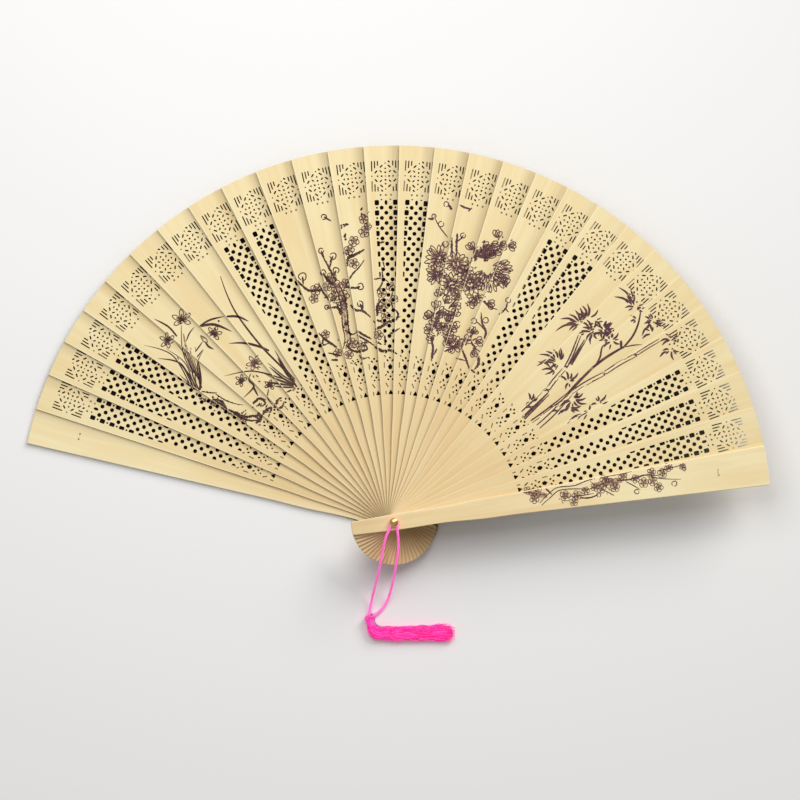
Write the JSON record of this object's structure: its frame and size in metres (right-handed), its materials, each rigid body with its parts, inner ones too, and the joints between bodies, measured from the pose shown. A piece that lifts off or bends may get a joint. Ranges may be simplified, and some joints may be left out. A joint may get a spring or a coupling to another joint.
{
  "type": "hand fan",
  "caption": "Folding hand fan of thin pierced wooden leaves between two guards on one brass rivet, with a cord and tassel.",
  "frame": {"origin": "on the rivet's axis, in the plane of the back guard's rear face", "axes": "+Z along the rivet from the back guard to the front guard, +Y from the rivet up the middle of the open fan, +X towards the front guard's side"},
  "size_m": [0.3546, 0.236, 0.0249],
  "materials": {
    "leaf_wood": "matte",
    "guard_wood": "matte",
    "rivet_brass": "polished",
    "tassel_cord": "satin",
    "tassel_silk": "satin",
    "binding_thread": "matte",
    "ink": "matte"
  },
  "bodies": {
    "front_guard_body": {"front_guard": "guard_wood", "rivet_pin": "rivet_brass", "rivet_washer": "rivet_brass", "rivet_dome": "rivet_brass", "cord_loop": "tassel_cord", "tassel_cord_left": "tassel_cord", "tassel_cord_right": "tassel_cord", "tassel_knot": "tassel_silk", "tassel_wrap": "tassel_silk", "tassel_skirt": "tassel_silk"},
    "back_guard_body": {"back_guard": "guard_wood"},
    "leaf_01_body": {"leaf_01": "leaf_wood"},
    "leaf_02_body": {"leaf_02": "leaf_wood"},
    "leaf_03_body": {"leaf_03": "leaf_wood"},
    "leaf_04_body": {"leaf_04": "leaf_wood"},
    "leaf_05_body": {"leaf_05": "leaf_wood"},
    "leaf_06_body": {"leaf_06": "leaf_wood"},
    "leaf_07_body": {"leaf_07": "leaf_wood"},
    "leaf_08_body": {"leaf_08": "leaf_wood"},
    "leaf_09_body": {"leaf_09": "leaf_wood"},
    "leaf_10_body": {"leaf_10": "leaf_wood"},
    "leaf_11_body": {"leaf_11": "leaf_wood"},
    "leaf_12_body": {"leaf_12": "leaf_wood"},
    "leaf_13_body": {"leaf_13": "leaf_wood"},
    "leaf_14_body": {"leaf_14": "leaf_wood"},
    "leaf_15_body": {"leaf_15": "leaf_wood"},
    "leaf_16_body": {"leaf_16": "leaf_wood"},
    "leaf_17_body": {"leaf_17": "leaf_wood"},
    "leaf_18_body": {"leaf_18": "leaf_wood"},
    "leaf_19_body": {"leaf_19": "leaf_wood"},
    "leaf_20_body": {"leaf_20": "leaf_wood"},
    "leaf_21_body": {"leaf_21": "leaf_wood"},
    "leaf_22_body": {"leaf_22": "leaf_wood"},
    "leaf_23_body": {"leaf_23": "leaf_wood"},
    "leaf_24_body": {"leaf_24": "leaf_wood"},
    "leaf_25_body": {"leaf_25": "leaf_wood"},
    "leaf_26_body": {"leaf_26": "leaf_wood"},
    "leaf_27_body": {"leaf_27": "leaf_wood"}
  },
  "joints": [
    {"name": "fan_fold", "type": "hinge", "parent": "front_guard_body", "child": "back_guard_body", "pos_m": [0, 0, 0], "axis": [0, 0, 1], "range_deg": [-156.2, 0]},
    {"name": "leaf_01_turn", "type": "hinge", "parent": "front_guard_body", "child": "leaf_01_body", "pos_m": [0, 0, 0], "axis": [0, 0, 1], "range_deg": [-150.67, 0]},
    {"name": "leaf_02_turn", "type": "hinge", "parent": "front_guard_body", "child": "leaf_02_body", "pos_m": [0, 0, 0], "axis": [0, 0, 1], "range_deg": [-145.09, 0]},
    {"name": "leaf_03_turn", "type": "hinge", "parent": "front_guard_body", "child": "leaf_03_body", "pos_m": [0, 0, 0], "axis": [0, 0, 1], "range_deg": [-139.51, 0]},
    {"name": "leaf_04_turn", "type": "hinge", "parent": "front_guard_body", "child": "leaf_04_body", "pos_m": [0, 0, 0], "axis": [0, 0, 1], "range_deg": [-133.94, 0]},
    {"name": "leaf_05_turn", "type": "hinge", "parent": "front_guard_body", "child": "leaf_05_body", "pos_m": [0, 0, 0], "axis": [0, 0, 1], "range_deg": [-128.36, 0]},
    {"name": "leaf_06_turn", "type": "hinge", "parent": "front_guard_body", "child": "leaf_06_body", "pos_m": [0, 0, 0], "axis": [0, 0, 1], "range_deg": [-122.78, 0]},
    {"name": "leaf_07_turn", "type": "hinge", "parent": "front_guard_body", "child": "leaf_07_body", "pos_m": [0, 0, 0], "axis": [0, 0, 1], "range_deg": [-117.2, 0]},
    {"name": "leaf_08_turn", "type": "hinge", "parent": "front_guard_body", "child": "leaf_08_body", "pos_m": [0, 0, 0], "axis": [0, 0, 1], "range_deg": [-111.34, 0]},
    {"name": "leaf_09_turn", "type": "hinge", "parent": "front_guard_body", "child": "leaf_09_body", "pos_m": [0, 0, 0], "axis": [0, 0, 1], "range_deg": [-105.51, 0]},
    {"name": "leaf_10_turn", "type": "hinge", "parent": "front_guard_body", "child": "leaf_10_body", "pos_m": [0, 0, 0], "axis": [0, 0, 1], "range_deg": [-99.72, 0]},
    {"name": "leaf_11_turn", "type": "hinge", "parent": "front_guard_body", "child": "leaf_11_body", "pos_m": [0, 0, 0], "axis": [0, 0, 1], "range_deg": [-94, 0]},
    {"name": "leaf_12_turn", "type": "hinge", "parent": "front_guard_body", "child": "leaf_12_body", "pos_m": [0, 0, 0], "axis": [0, 0, 1], "range_deg": [-88.36, 0]},
    {"name": "leaf_13_turn", "type": "hinge", "parent": "front_guard_body", "child": "leaf_13_body", "pos_m": [0, 0, 0], "axis": [0, 0, 1], "range_deg": [-82.8, 0]},
    {"name": "leaf_14_turn", "type": "hinge", "parent": "front_guard_body", "child": "leaf_14_body", "pos_m": [0, 0, 0], "axis": [0, 0, 1], "range_deg": [-77.33, 0]},
    {"name": "leaf_15_turn", "type": "hinge", "parent": "front_guard_body", "child": "leaf_15_body", "pos_m": [0, 0, 0], "axis": [0, 0, 1], "range_deg": [-71.92, 0]},
    {"name": "leaf_16_turn", "type": "hinge", "parent": "front_guard_body", "child": "leaf_16_body", "pos_m": [0, 0, 0], "axis": [0, 0, 1], "range_deg": [-66.58, 0]},
    {"name": "leaf_17_turn", "type": "hinge", "parent": "front_guard_body", "child": "leaf_17_body", "pos_m": [0, 0, 0], "axis": [0, 0, 1], "range_deg": [-61.27, 0]},
    {"name": "leaf_18_turn", "type": "hinge", "parent": "front_guard_body", "child": "leaf_18_body", "pos_m": [0, 0, 0], "axis": [0, 0, 1], "range_deg": [-55.98, 0]},
    {"name": "leaf_19_turn", "type": "hinge", "parent": "front_guard_body", "child": "leaf_19_body", "pos_m": [0, 0, 0], "axis": [0, 0, 1], "range_deg": [-50.67, 0]},
    {"name": "leaf_20_turn", "type": "hinge", "parent": "front_guard_body", "child": "leaf_20_body", "pos_m": [0, 0, 0], "axis": [0, 0, 1], "range_deg": [-45.33, 0]},
    {"name": "leaf_21_turn", "type": "hinge", "parent": "front_guard_body", "child": "leaf_21_body", "pos_m": [0, 0, 0], "axis": [0, 0, 1], "range_deg": [-39.92, 0]},
    {"name": "leaf_22_turn", "type": "hinge", "parent": "front_guard_body", "child": "leaf_22_body", "pos_m": [0, 0, 0], "axis": [0, 0, 1], "range_deg": [-34.45, 0]},
    {"name": "leaf_23_turn", "type": "hinge", "parent": "front_guard_body", "child": "leaf_23_body", "pos_m": [0, 0, 0], "axis": [0, 0, 1], "range_deg": [-28.89, 0]},
    {"name": "leaf_24_turn", "type": "hinge", "parent": "front_guard_body", "child": "leaf_24_body", "pos_m": [0, 0, 0], "axis": [0, 0, 1], "range_deg": [-23.25, 0]},
    {"name": "leaf_25_turn", "type": "hinge", "parent": "front_guard_body", "child": "leaf_25_body", "pos_m": [0, 0, 0], "axis": [0, 0, 1], "range_deg": [-17.53, 0]},
    {"name": "leaf_26_turn", "type": "hinge", "parent": "front_guard_body", "child": "leaf_26_body", "pos_m": [0, 0, 0], "axis": [0, 0, 1], "range_deg": [-11.74, 0]},
    {"name": "leaf_27_turn", "type": "hinge", "parent": "front_guard_body", "child": "leaf_27_body", "pos_m": [0, 0, 0], "axis": [0, 0, 1], "range_deg": [-5.91, 0]}
  ],
  "couplings": [
    {"joint": "leaf_01_turn", "follows": "fan_fold", "ratio": 0.96429},
    {"joint": "leaf_02_turn", "follows": "fan_fold", "ratio": 0.92857},
    {"joint": "leaf_03_turn", "follows": "fan_fold", "ratio": 0.89286},
    {"joint": "leaf_04_turn", "follows": "fan_fold", "ratio": 0.85714},
    {"joint": "leaf_05_turn", "follows": "fan_fold", "ratio": 0.82143},
    {"joint": "leaf_06_turn", "follows": "fan_fold", "ratio": 0.78571},
    {"joint": "leaf_07_turn", "follows": "fan_fold", "ratio": 0.75},
    {"joint": "leaf_08_turn", "follows": "fan_fold", "ratio": 0.71249},
    {"joint": "leaf_09_turn", "follows": "fan_fold", "ratio": 0.67515},
    {"joint": "leaf_10_turn", "follows": "fan_fold", "ratio": 0.6381},
    {"joint": "leaf_11_turn", "follows": "fan_fold", "ratio": 0.60148},
    {"joint": "leaf_12_turn", "follows": "fan_fold", "ratio": 0.56536},
    {"joint": "leaf_13_turn", "follows": "fan_fold", "ratio": 0.52978},
    {"joint": "leaf_14_turn", "follows": "fan_fold", "ratio": 0.49473},
    {"joint": "leaf_15_turn", "follows": "fan_fold", "ratio": 0.46015},
    {"joint": "leaf_16_turn", "follows": "fan_fold", "ratio": 0.42593},
    {"joint": "leaf_17_turn", "follows": "fan_fold", "ratio": 0.39195},
    {"joint": "leaf_18_turn", "follows": "fan_fold", "ratio": 0.35805},
    {"joint": "leaf_19_turn", "follows": "fan_fold", "ratio": 0.32407},
    {"joint": "leaf_20_turn", "follows": "fan_fold", "ratio": 0.28985},
    {"joint": "leaf_21_turn", "follows": "fan_fold", "ratio": 0.25527},
    {"joint": "leaf_22_turn", "follows": "fan_fold", "ratio": 0.22022},
    {"joint": "leaf_23_turn", "follows": "fan_fold", "ratio": 0.18464},
    {"joint": "leaf_24_turn", "follows": "fan_fold", "ratio": 0.14852},
    {"joint": "leaf_25_turn", "follows": "fan_fold", "ratio": 0.1119},
    {"joint": "leaf_26_turn", "follows": "fan_fold", "ratio": 0.074855},
    {"joint": "leaf_27_turn", "follows": "fan_fold", "ratio": 0.037507}
  ]
}
